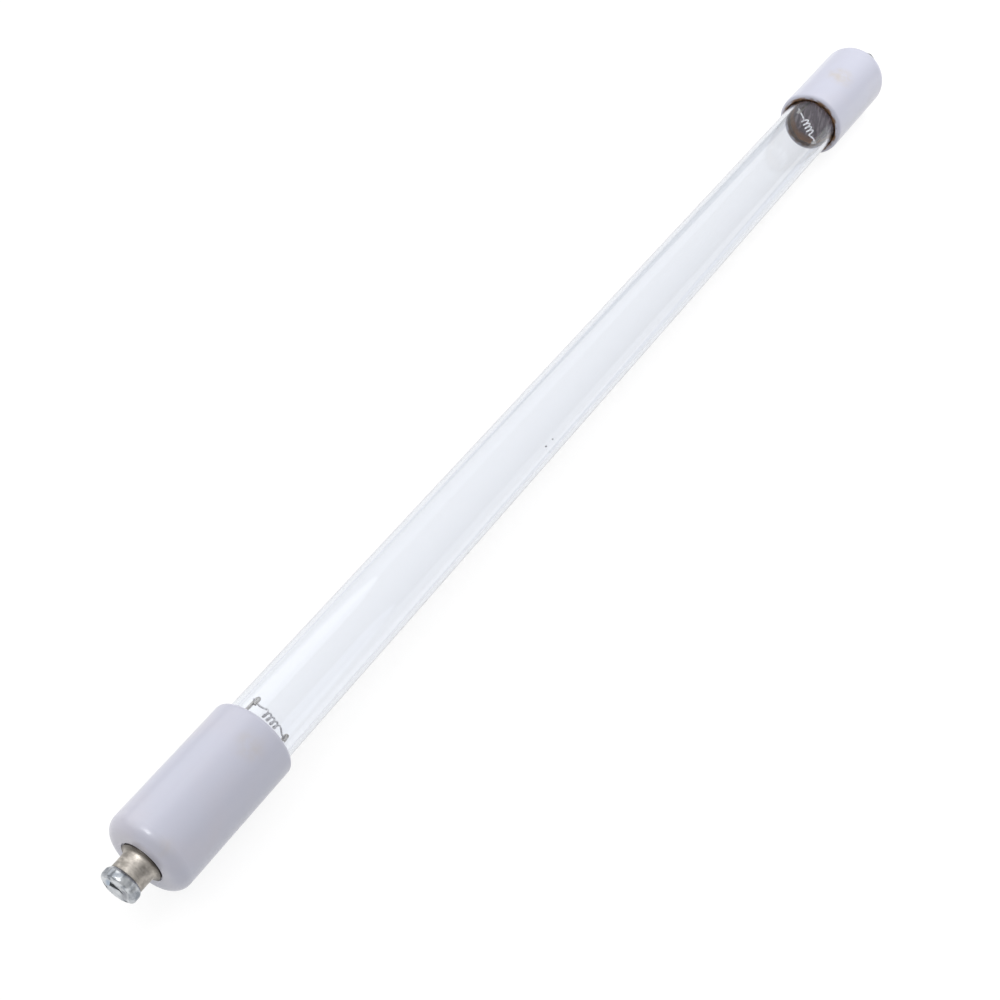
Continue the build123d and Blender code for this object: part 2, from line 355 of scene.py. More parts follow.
@dataclass(frozen=True)
class CeramicFinish:
    """White glazed ceramic with faint firing stains, a scorched mouth and a few tiny specks."""

    mouth: float  # distance of both mouths from the middle of the lamp, metres
    colour: tuple = (0.540, 0.550, 0.648)
    warm: tuple = (0.565, 0.548, 0.618)
    stain: tuple = (0.52, 0.455, 0.375)
    scorch: tuple = (0.20, 0.105, 0.045)
    speck: tuple = (0.26, 0.25, 0.26)
    stains: tuple = (  # middle in metres, reach in metres and share of each
        ((-0.1334, -0.0048, 0.0082), 0.0045, 0.35),
        ((-0.1590, -0.0055, 0.0077), 0.0035, 0.30),
        ((0.1420, -0.0019, 0.0093), 0.0055, 0.65),
    )
    cloud_size: float = 22.0 * MM
    cloud_range: tuple = (0.45, 0.75)
    ragged_size: float = 2.5 * MM
    stain_range: tuple = (0.25, 0.75)
    scorch_range: tuple = (0.35, 0.6)
    scorch_depth: tuple = (0.1 * MM, 0.9 * MM)  # where it starts and stops fading, into the cap
    scorch_radius: tuple = (8.35 * MM, 8.85 * MM)  # the same, outwards over the mouth's edge
    speck_spacing: float = 7.5 * MM
    speck_radius: float = 0.22 * MM
    speck_share: float = 0.55
    gloss_size: float = 9.0 * MM
    roughness: float = 0.30
    roughness_spread: float = 0.10
    coat: float = 0.35
    coat_roughness: float = 0.12
    ripple_size: float = 3.2 * MM
    ripple_depth: float = 0.06 * MM
    ripple_strength: float = 0.35

    def material(self) -> Material:
        """Builds the glaze.

        Returns:
            The material.
        """
        shader = Shader("glazed_ceramic")
        cloud = shader.noise(self.cloud_size).step(*self.cloud_range)
        base = shader.blend(cloud, self.colour, self.warm)
        ragged = shader.noise(self.ragged_size)
        for point, reach, share in self.stains:
            patch = shader.near(point, reach) * ragged.step(*self.stain_range)
            base = shader.blend(patch * share, base, self.stain)
        depth = abs(shader.axes()[0]) - self.mouth
        edge = 1.0 - depth.step(*self.scorch_depth)
        inward = 1.0 - shader.radius().step(*self.scorch_radius)
        scorched = edge * inward * ragged.step(*self.scorch_range)
        base = shader.blend(scorched, base, self.scorch)
        dots = shader.specks(self.speck_spacing, self.speck_radius)
        base = shader.blend(dots * self.speck_share, base, self.speck)
        ripple = shader.noise(self.ripple_size, detail=2.0)
        return shader.surface(
            Base_Color=base,
            Roughness=self.roughness + self.roughness_spread * shader.noise(self.gloss_size),
            Coat_Weight=self.coat,
            Coat_Roughness=self.coat_roughness,
            Normal=shader.bump(ripple, self.ripple_depth, self.ripple_strength),
        )


@dataclass(frozen=True)
class PlatedFinish:
    """Dull nickel plate on brass, dented and stained, with painted shade in the corner of the
    collar.
    """

    cap_face: float  # distance of both caps' outer faces from the middle of the lamp, metres
    light: tuple = (0.60, 0.56, 0.51)
    dark: tuple = (0.27, 0.25, 0.225)
    # painted shade for the corner by the collar
    collar_shade: tuple = (0.055, 0.045, 0.04)
    collar_shade_share: float = 0.75
    collar_fade: float = 0.9 * MM
    blotch_size: float = 2.6 * MM
    mark_size: float = 1.2 * MM
    mark_scale: tuple = (2.2, 0.8, 0.8)  # marks run round the pin
    mark_share: float = 0.3
    tone_range: tuple = (0.34, 0.66)
    roughness: float = 0.34
    roughness_spread: float = 0.22
    dent_depth: float = 0.35 * MM
    dent_strength: float = 0.6

    def material(self) -> Material:
        """Builds the plate for both pins.

        Returns:
            The material.
        """
        shader = Shader("nickel_plate")
        along = abs(shader.axes()[0])
        blotch = shader.noise(self.blotch_size)
        marks = shader.noise(self.mark_size, shader.place(None, self.mark_scale), 2.0)
        mixed = (1.0 - self.mark_share) * blotch + self.mark_share * marks
        base = shader.blend(mixed.step(*self.tone_range), self.dark, self.light)
        # painted shade: darkens the plate where it meets the collar
        corner = 1.0 - (along - self.cap_face).step(0.0, self.collar_fade)
        base = shader.blend(corner * self.collar_shade_share, base, self.collar_shade)
        return shader.surface(
            Base_Color=base,
            Metallic=1.0,
            Roughness=self.roughness + self.roughness_spread * blotch,
            Normal=shader.bump(blotch, self.dent_depth, self.dent_strength),
        )


def along_slit(across: object, upward: object) -> tuple[object, object]:
    """Turns a place on a pin's end into the slit's own directions.

    Args:
        across: The place along Y, a number or a Signal.
        upward: The place along Z, a number or a Signal.

    Returns:
        The distances along the slit and square to it.
    """
    run = across * math.cos(SLIT_TURN) + upward * math.sin(SLIT_TURN)
    over = upward * math.cos(SLIT_TURN) - across * math.sin(SLIT_TURN)
    return run, over


@dataclass(frozen=True)
class SolderFinish:
    """Bright solder, struck with a four-sided punch, with painted shade and reflections on the
    hollow's facets and a dark slit widened by painted shade.
    """

    tip: float  # distance of both tips from the middle of the lamp, metres
    light: tuple = (0.62, 0.64, 0.66)
    dark: tuple = (0.25, 0.27, 0.30)
    # painted shade: the near black of the slit and the shaded groove round it
    slit: tuple = (0.012, 0.016, 0.02)
    facet_shades: tuple = (  # painted shade and reflections, one for each facet: colour, slant, distances from the middle where it fades in, and share
        ((0.30, 0.38, 0.48), 1.2, 0.0, 0.9 * MM, 0.8),
        ((0.17, 0.18, 0.21), 0.4, 0.3 * MM, 1.0 * MM, 0.8),
        ((0.62, 0.64, 0.66), 0.5, 0.0, 0.9 * MM, 0.35),
    )
    face_depth: tuple = (-1.3 * MM, -0.2 * MM)  # where the facets fade in, before the tip
    face_radius: tuple = (2.2 * MM, 3.0 * MM)  # where they fade out
    slit_length: float = 3.4 * MM
    slit_width: float = 1.8 * MM  # at its wide end
    slit_depth: float = 3.0 * MM
    cloud_size: float = 1.8 * MM
    cloud_range: tuple = (0.32, 0.66)
    grain_size: float = 0.7 * MM
    grain_depth: float = 0.03 * MM
    grain_strength: float = 0.4
    roughness: float = 0.20
    roughness_spread: float = 0.20
    slit_roughness: float = 0.55  # added inside the slit

    def material(self) -> Material:
        """Builds the solder for both tips.

        Returns:
            The material.
        """
        shader = Shader("tip_solder")
        along = abs(shader.axes()[0])
        cloud = shader.noise(self.cloud_size)
        base = shader.blend(cloud.step(*self.cloud_range), self.dark, self.light)
        run, over = along_slit(*shader.axes()[1:])
        face = (along - self.tip).step(*self.face_depth)
        rim = 1.0 - shader.radius().step(*self.face_radius)
        ends = face * rim
        # painted shade and reflections: each facet of the hollow is tinted as the light falls on it
        sides = ((ends, run, over), (ends, -1.0 * run, over), (rim, -1.0 * over, run))
        for (within, outwards, sideways), facet in zip(sides, self.facet_shades):
            colour, slant, start, full, share = facet
            mask = (outwards - slant * abs(sideways)).step(start, full)
            base = shader.blend(within * mask * share, base, colour)
        # painted shade: a dark wedge, wider than the real slit, for the shade in its groove
        wedge = 0.5 * self.slit_width * (0.5 + run / self.slit_length)
        inside = (abs(over) < wedge) * (abs(run) < 0.5 * self.slit_length)
        inside = inside * (along > self.tip - self.slit_depth)
        base = shader.blend(inside, base, self.slit)
        roughness = self.roughness + self.roughness_spread * cloud + self.slit_roughness * inside
        grain = shader.noise(self.grain_size)
        return shader.surface(
            Base_Color=base,
            Metallic=1.0 - inside,
            Roughness=roughness,
            Normal=shader.bump(grain, self.grain_depth, self.grain_strength),
        )


@dataclass(frozen=True)
class CementFinish:
    """Pale cement in the caps, burnt amber and dark brown where it meets the air at the mouth."""

    mouth: float  # distance of both mouths from the middle of the lamp, metres
    pale: tuple = (0.60, 0.57, 0.55)
    burnt: tuple = (  # a ramp from near black by brown to amber
        (0.34, (0.035, 0.020, 0.014)),
        (0.50, (0.14, 0.065, 0.026)),
        (0.70, (0.45, 0.26, 0.12)),
    )
    burnt_depth: tuple = (0.96 * MM, 2.24 * MM)  # where it starts and stops fading into the pale
    burnt_wander: float = 1.0 * MM
    cloud_size: float = 2.1 * MM
    grain_size: float = 0.5 * MM
    grain_share: float = 0.2
    grain_depth: float = 0.1 * MM
    grain_strength: float = 0.7
    roughness: float = 0.75

    def material(self) -> Material:
        """Builds the cement.

        Returns:
            The material.
        """
        shader = Shader("burnt_cement")
        cloud = shader.noise(self.cloud_size)
        grain = shader.noise(self.grain_size)
        mixed = (1.0 - self.grain_share) * cloud + self.grain_share * grain
        burnt = shader.ramp(mixed, self.burnt)
        depth = abs(shader.axes()[0]) - self.mouth + self.burnt_wander * cloud
        return shader.surface(
            Base_Color=shader.blend(depth.step(*self.burnt_depth), burnt, self.pale),
            Roughness=self.roughness,
            Normal=shader.bump(grain, self.grain_depth, self.grain_strength),
        )


@dataclass(frozen=True)
class WireFinish:
    """Drawn wire or foil with a mottled oxide skin."""

    name: str
    light: tuple
    dark: tuple
    roughness: float
    metallic: float = 1.0
    painted_glow: float = 0.0  # painted light: a glow in the wire's own colour, in place of the light that the glass keeps off it
    roughness_spread: float = 0.15
    cloud_size: float = 0.9 * MM
    cloud_range: tuple = (0.32, 0.68)
    grain_size: float = 0.2 * MM
    grain_depth: float = 0.02 * MM
    grain_strength: float = 0.5

    def material(self) -> Material:
        """Builds the wire's metal.

        Returns:
            The material.
        """
        shader = Shader(self.name)
        cloud = shader.noise(self.cloud_size)
        base = shader.blend(cloud.step(*self.cloud_range), self.dark, self.light)
        grain = shader.noise(self.grain_size)
        return shader.surface(
            Base_Color=base,
            Metallic=self.metallic,
            Roughness=self.roughness + self.roughness_spread * cloud,
            Normal=shader.bump(grain, self.grain_depth, self.grain_strength),
            # painted light: the wire glows, though it is no lamp
            Emission_Color=base,
            Emission_Strength=self.painted_glow,
        )


NICKEL = WireFinish("nickel_wire", (0.66, 0.64, 0.61), (0.42, 0.40, 0.37), 0.38)
MOLYBDENUM = WireFinish("molybdenum_foil", (0.52, 0.52, 0.54), (0.36, 0.36, 0.38), 0.35)
# painted light: both tungsten wires glow, the right one more, as a brighter lit copy of the left
TUNGSTEN = WireFinish(
    "grey_tungsten", (0.90, 0.90, 0.92), (0.50, 0.50, 0.52), 0.45, metallic=0.0, painted_glow=0.16
)
BRIGHTER_GLOWING_TUNGSTEN = replace(TUNGSTEN, name="brighter_glowing_tungsten", painted_glow=0.42)


@dataclass(frozen=True)
class DepositFinish:
    """Dark film that the arc leaves on the end of the glass, brown and thin at its rim."""

    hollow_end: float  # distance of the hollow's end from the middle of the lamp, metres
    reach: float  # how far the film comes forward from the hollow's end, metres
    middle: tuple = (0.135, 0.098, 0.125)
    streak: tuple = (0.50, 0.44, 0.48)
    rim: tuple = (0.34, 0.165, 0.065)
    brown_range: tuple = (0.10, 0.50)  # shares of the reach over which it turns brown
    thin_start: float = 0.65  # share of the reach at which it starts to fade away
    cloud_size: float = 2.4 * MM
    wander: float = 1.2 * MM
    streak_size: float = 1.1 * MM
    streak_scale: tuple = (1.0, 1.6, 0.35)  # streaks run up the end
    streak_range: tuple = (0.46, 0.66)
    streak_share: float = 0.6
    metallic: float = 0.10
    roughness: float = 0.34
    roughness_spread: float = 0.12

    def material(self) -> Material:
        """Builds the film.

        Returns:
            The material.
        """
        shader = Shader("end_deposit")
        cloud = shader.noise(self.cloud_size)
        streaks = shader.noise(self.streak_size, shader.place(None, self.streak_scale))
        streaked = streaks.step(*self.streak_range) * self.streak_share
        base = shader.blend(streaked, self.middle, self.streak)
        forward = self.hollow_end - abs(shader.axes()[0]) + self.wander * (cloud - 0.5)
        browned = forward.step(*(share * self.reach for share in self.brown_range))
        thin = forward.step(self.thin_start * self.reach, self.reach)
        return shader.surface(
            Base_Color=shader.blend(browned, base, self.rim),
            Metallic=self.metallic,
            Roughness=self.roughness + self.roughness_spread * cloud,
            Alpha=1.0 - thin,
        )


@dataclass(frozen=True)
class MercuryFinish:
    """Liquid mercury, dulled a little by oxide."""

    light: tuple = (0.60, 0.60, 0.62)
    dark: tuple = (0.16, 0.16, 0.18)
    cloud_size: float = 0.2 * MM
    cloud_range: tuple = (0.35, 0.65)
    roughness: float = 0.08
    roughness_spread: float = 0.1

    def material(self) -> Material:
        """Builds the mercury.

        Returns:
            The material.
        """
        shader = Shader("mercury")
        cloud = shader.noise(self.cloud_size)
        return shader.surface(
            Base_Color=shader.blend(cloud.step(*self.cloud_range), self.dark, self.light),
            Metallic=1.0,
            Roughness=self.roughness + self.roughness_spread * cloud,
        )


def recolour(node: str, material: Material) -> None:
    """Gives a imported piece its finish.

    Args:
        node: The piece's node name.
        material: The finish.
    """
    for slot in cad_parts[node].material_slots:
        slot.material = material
    LOG.info("%s: %s", node, material.name)


def add_object(name: str, data: ID) -> Object:
    """Puts a new object into the scene.

    Args:
        name: Its name.
        data: Its mesh, camera or light.

    Returns:
        The object.
    """
    thing = bpy.data.objects.new(name, data)
    bpy.context.scene.collection.objects.link(thing)
    return thing


def spin_round(shape: BMesh, section: list, steps: int) -> None:
    """Spins a section once round the lamp's axis.

    Args:
        shape: The mesh that holds the section.
        section: The section's vertices and edges.
        steps: The number of steps round.
    """
    bmesh.ops.spin(
        shape,
        geom=section,
        cent=(0, 0, 0),
        axis=X_AXIS,
        dvec=(0, 0, 0),
        angle=2 * math.pi,
        steps=steps,
        use_merge=True,
        use_duplicate=False,
    )


def turned(places: list[Vector], steps: int) -> BMesh:
    """Turns an outline round the lamp's axis, as on a lathe.

    Args:
        places: The outline's points, in metres.
        steps: The number of steps round.

    Returns:
        The mesh.
    """
    shape = bmesh.new()
    points = [shape.verts.new(place) for place in places]
    edges = [shape.edges.new(pair) for pair in zip(points, points[1:])]
    spin_round(shape, points + edges, steps)
    return shape


def eased(t: float, start: object, leave: object, stop: object, arrive: object) -> object:
    """The point at share t of a cubic run, by both ends and the slope there, or numbers alike."""
    first = (2 * t**3 - 3 * t**2 + 1) * start + (t**3 - 2 * t**2 + t) * leave
    return first + ((3 * t**2 - 2 * t**3) * stop + (t**3 - t**2) * arrive)


def corner_points(radius: float, steps: int, angle: float = math.pi / 2) -> list:
    """Steps round a corner from a flat face: how far back and how far out each one is."""
    turns = [angle * index / steps for index in range(steps + 1)]
    return [(radius * (1 - math.cos(turn)), radius * math.sin(turn)) for turn in turns]


def add_piece(
    name: str,
    shape: BMesh,
    material: Material,
    hollow: BMesh | None = None,
) -> Object:
    """Makes a finished object from a bmesh and lets it ride on the lamp.

    Args:
        name: The piece's name.
        shape: The mesh, in metres in the lamp's frame; it is freed.
        material: The finish.
        hollow: The skin of a closed hollow inside it, or None; it is freed.

    Returns:
        The object.
    """
    bmesh.ops.remove_doubles(shape, verts=shape.verts, dist=WELD)
    bmesh.ops.recalc_face_normals(shape, faces=shape.faces)
    mesh = bpy.data.meshes.new(name)
    if hollow is not None:
        bmesh.ops.recalc_face_normals(hollow, faces=hollow.faces)
        bmesh.ops.reverse_faces(hollow, faces=hollow.faces)
        hollow.to_mesh(mesh)
        hollow.free()
        shape.from_mesh(mesh)
    shape.to_mesh(mesh)
    shape.free()
    mesh.shade_smooth()
    mesh.materials.append(material)
    piece = add_object(name, mesh)
    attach(piece, BODY)
    LOG.info("%s: %d faces", name, len(mesh.polygons))
    return piece


@dataclass
class EndPiece:
    """A new piece at one end of the lamp. Each kind of it makes its own shape."""

    suffix = ""  # ends its name
    slot = ""  # a material's name
    stands_for = ""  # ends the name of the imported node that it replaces, if any

    end: End
    place: float  # along X, metres

    def shape(self) -> BMesh:
        """The piece's mesh, in metres in the lamp's frame."""
        raise NotImplementedError

    def build(self, material: Material) -> Object:
        """Makes the piece.

        Args:
            material: Its finish.

        Returns:
            The object.
        """
        name = self.end.prefix
        piece = add_piece(f"{name}_{self.suffix}", self.shape(), material)
        if self.stands_for:
            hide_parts(f"{name}_{self.stands_for}")
        return piece


@dataclass
class Electrode(EndPiece):
    """A coiled coil of tungsten at one end, drawn out to a leg each side and held by the hooks."""

    suffix = "coiled_coil"
    slot = "tungsten"
    stands_for = "filament"

    lead_spacing: float = 10.0 * MM
    leg_offset: float = -0.17 * MM
    coil_radius: float = 0.85 * MM
    coil_pitch: float = 1.1 * MM
    coil_turns: float = 4.0
    leg_reach: float = 0.7 * MM
    fine_radius: float = 0.17 * MM
    fine_pitch: float = 0.13 * MM
    wire_radius: float = 0.055 * MM
    coil_steps: int = 160
    bend_steps: int = 24
    steps_per_fine_turn: int = 10

    def centre_line(self) -> list[Vector]:
        """Draws the line that the fine coil winds round, upright on the origin.

        Returns:
            Its points from tip to tip.
        """
        half_coil = self.coil_turns * self.coil_pitch / 2
        reach = self.lead_spacing / 2
        upright = Vector((0, 0, 1))
        coil = []
        for index in range(self.coil_steps + 1):
            share = index / self.coil_steps
            turn = 2 * math.pi * self.coil_turns * share
            across = self.coil_radius * math.cos(turn), self.coil_radius * math.sin(turn)
            coil.append(Vector((*across, half_coil * (2 * share - 1))))
        low = [upright * (-reach - self.leg_reach), upright * (-reach + self.leg_reach)]
        high = [upright * (reach - self.leg_reach), upright * (reach + self.leg_reach)]
        bends = []
        for start, leave, stop, arrive in (
            (low[1], upright, coil[0], (coil[1] - coil[0]).normalized()),
            (coil[-1], (coil[-1] - coil[-2]).normalized(), high[0], upright),
        ):
            pull = (stop - start).length
            shares = [index / self.bend_steps for index in range(1, self.bend_steps)]
            bends.append([eased(t, start, pull * leave, stop, pull * arrive) for t in shares])
        return low + bends[0] + coil + bends[1] + high

    def wire_line(self) -> list[Vector]:
        """Winds the fine wire round the centre line.

        Returns:
            The points of the wire.
        """
        line = self.centre_line()
        lengths = [0.0]
        for before, after in zip(line, line[1:]):
            lengths.append(lengths[-1] + (after - before).length)
        total = lengths[-1]
        steps = int(total / self.fine_pitch * self.steps_per_fine_turn)
        normal = X_AXIS.copy()
        points = []
        span = 0
        for index in range(steps + 1):
            along = total * index / steps
            while span < len(line) - 2 and lengths[span + 1] < along:
                span += 1
            run = line[span + 1] - line[span]
            share = (along - lengths[span]) / max(lengths[span + 1] - lengths[span], LEAST)
            tangent = run.normalized()
            normal = (normal - tangent * normal.dot(tangent)).normalized()
            side = tangent.cross(normal)
            turn = 2 * math.pi * index / self.steps_per_fine_turn
            offset = self.fine_radius * (math.cos(turn) * normal + math.sin(turn) * side)
            points.append(line[span] + run * share + offset)
        return points

    def to_lamp(self) -> Matrix:
        """Finds the move from the upright coil to its place between the leads.

        Returns:
            The transform.
        """
        outwards = X_AXIS * self.end.side
        up = outwards.cross(LEAD_LINE)
        turn = Matrix((-outwards, LEAD_LINE.cross(-outwards), LEAD_LINE)).transposed().to_4x4()
        return Matrix.Translation(X_AXIS * self.place + up * self.leg_offset) @ turn

    def shape(self) -> BMesh:
        """Makes the filament.

        Returns:
            The mesh.
        """
        points = self.wire_line()
        curve = bpy.data.curves.new(f"{self.end.prefix}_{self.suffix}", "CURVE")
        curve.dimensions = "3D"
        curve.bevel_depth = self.wire_radius
        curve.bevel_resolution = 1
        curve.use_fill_caps = True
        spline = curve.splines.new("POLY")
        spline.points.add(len(points) - 1)
        for point, place in zip(spline.points, points):
            point.co = (*place, 1.0)
        holder = bpy.data.objects.new(curve.name, curve)
        shape = bmesh.new()
        shape.from_mesh(holder.to_mesh())
        holder.to_mesh_clear()
        bpy.data.objects.remove(holder)
        shape.transform(self.to_lamp())
        return shape


@dataclass
class Envelope:
    """The quartz tube as one smooth skin: round and hollow, pinched flat at both ends."""

    stations: list[Stations]  # left, then right
    hollow_depth: float  # from a filament to the end of the hollow, metres
    wall: float = 1.0 * MM
    corner: float = 2.0 * MM  # rounding at the ends of the hollow
    glass_back: float = 1.5 * MM  # glass between the hollow's end and the pinch shoulder
    shoulder: float = 5.0 * MM
    press_half: float = 2.0 * MM
    segments: int = 384
    shoulder_steps: int = 12
    corner_steps: int = 8

    @property
    def radius(self) -> float:
        """The tube's outer radius."""
        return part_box("quartz_tube")[1].z

    def ring(self, shape: BMesh, along: float, radius: float, half: float) -> list:
        """Adds one ring round the tube, flattened across the line from lead to lead.

        Args:
            shape: The mesh.
            along: The ring's place along X.
            radius: Its radius.
            half: Half its thickness where it is pinched.

        Returns:
            Its vertices.
        """
        ring = []
        for index in range(self.segments):
            turn = 2 * math.pi * index / self.segments
            thick = max(-half, min(half, radius * math.sin(turn)))
            place = X_AXIS * along + LEAD_LINE * (radius * math.cos(turn)) + FLAT_LINE * thick
            ring.append(shape.verts.new(place))
        return ring

    def skin(self, profile: list[tuple[float, float, float]]) -> BMesh:
        """Joins rings into a closed skin.

        Args:
            profile: Place along X, radius and half thickness of each ring.

        Returns:
            The mesh.
        """
        shape = bmesh.new()
        rings = [self.ring(shape, *row) for row in profile]
        for near, far in zip(rings, rings[1:]):
            for index in range(self.segments):
                after = (index + 1) % self.segments
                shape.faces.new((near[index], near[after], far[after], far[index]))
        shape.faces.new(rings[0])
        shape.faces.new(rings[-1])
        return shape

    def pinch(self, station: Stations) -> list[tuple[float, float, float]]:
        """Lays out one pinched end, from the round tube outwards.

        Args:
            station: The end's places.

        Returns:
            Place along X, radius and half thickness of each ring.
        """
        side = station.end.side
        start = station.filament + side * (self.hollow_depth + self.glass_back)
        tall = self.radius + self.wall
        chord = math.hypot(self.shoulder, tall - self.press_half)
        slope = -chord / math.sqrt(2)
        rows = [(start - side * self.shoulder, self.radius, tall)]
        for index in range(self.shoulder_steps + 1):
            share = index / self.shoulder_steps
            half = eased(share, tall, slope, self.press_half, 0.0)
            rows.append((start + side * self.shoulder * share, self.radius, half))
        rows.append((station.glass_end, self.radius, self.press_half))
        return rows

    def hollow_end(self, station: Stations) -> list[tuple[float, float, float]]:
        """Lays out one rounded end of the hollow, from its wall to its flat end.

        Args:
            station: The end's places.

        Returns:
            Place along X, radius and half thickness of each ring.
        """
        side = station.end.side
        end = station.filament + side * self.hollow_depth
        inner = self.radius - self.wall
        flat = inner - self.corner
        rows = [(end - side * 2 * self.corner, inner, inner)]
        for back, out in reversed(corner_points(self.corner, self.corner_steps)):
            rows.append((end - side * back, flat + out, flat + out))
        rows.append((end, flat / 2, inner))
        return rows

    def build(self, material: Material) -> Object:
        """Makes the tube.

        Args:
            material: The glass.

        Returns:
            The piece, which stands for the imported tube.
        """
        left, right = self.stations
        outer = self.pinch(left)[::-1] + self.pinch(right)
        inner = self.hollow_end(left)[::-1] + self.hollow_end(right)
        hollow = self.skin(inner)
        piece = add_piece("clear_tube", self.skin(outer), material, hollow)
        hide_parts("quartz_tube")
        return piece


@dataclass
class EndDeposit(EndPiece):
    """A dark film on the closed end of the hollow behind one filament, and some way up its wall."""

    suffix = "end_deposit"
    slot = "cement"

    reach: float  # how far the film comes forward from the hollow's end, metres
    disc_radius: float = 4.75 * MM
    corner_radius: float = 2.0 * MM
    film: float = 0.02 * MM
    wall_gap: float = 0.03 * MM
    corner_steps: int = 10
    steps: int = 96

    def profile(self) -> list[Vector]:
        """Draws half the film's section, from the axis round the corner and along the wall.

        Returns:
            Its points.
        """
        side = self.end.side
        flat = self.place - side * self.wall_gap
        outer = self.corner_radius - self.wall_gap
        around = math.acos(1 - min(self.reach, outer) / outer)
        points = [Vector((flat, 0, self.disc_radius * share)) for share in (0.0, 0.5, 1.0)]
        for back, out in corner_points(outer, self.corner_steps, around)[1:]:
            points.append(Vector((flat - side * back, 0, self.disc_radius + out)))
        if self.reach > outer:
            points.append(Vector((flat - side * self.reach, 0, self.disc_radius + outer)))
        return points

    def shape(self) -> BMesh:
        """Makes the film as a shallow dish that follows the glass.

        Returns:
            The mesh.
        """
        shape = turned(self.profile(), self.steps)
        bmesh.ops.remove_doubles(shape, verts=shape.verts, dist=WELD)
        bmesh.ops.recalc_face_normals(shape, faces=shape.faces)
        bmesh.ops.solidify(shape, geom=shape.faces[:], thickness=self.film)
        return shape


@dataclass
class CementBead(EndPiece):
    """The uneven bead of cement that squeezed out between tube and cap at one mouth."""

    suffix = "cement_bead"
    slot = "cement"

    inner_radius: float = 7.79 * MM
    outer_radius: float = 8.12 * MM
    depth: float = 0.9 * MM
    unevenness: float = 0.12 * MM
    waves: tuple = ((1.0, 3, 0.7), (0.6, 7, 2.1))  # height, number round and phase of each
    ripple: tuple = (0.4, 13)  # height and number round of one that differs from end to end
    section_sides: int = 10
    steps: int = 96

    def shape(self) -> BMesh:
        """Makes the bead as a ring whose outer face wanders.

        Returns:
            The mesh.
        """
        side = self.end.side
        shape = bmesh.new()
        middle = (self.inner_radius + self.outer_radius) / 2
        half = (self.outer_radius - self.inner_radius) / 2
        sides = self.section_sides
        ring = bmesh.ops.create_circle(shape, cap_ends=False, segments=sides, radius=half)
        lift = Matrix.Translation(Vector((self.place, 0, middle)))
        upright = Matrix.Rotation(math.pi / 2, 4, "X")
        stretch = Matrix.Diagonal((self.depth / half / 2, 1, 1, 1))
        bmesh.ops.transform(shape, matrix=lift @ stretch @ upright, verts=ring["verts"])
        spin_round(shape, shape.verts[:] + shape.edges[:], self.steps)
        for vertex in shape.verts:
            turn = math.atan2(vertex.co.z, vertex.co.y)
            waves = (*self.waves, (*self.ripple, side))
            wander = sum(height * math.sin(count * turn + phase) for height, count, phase in waves)
            vertex.co.x -= side * self.unevenness * wander
        return shape


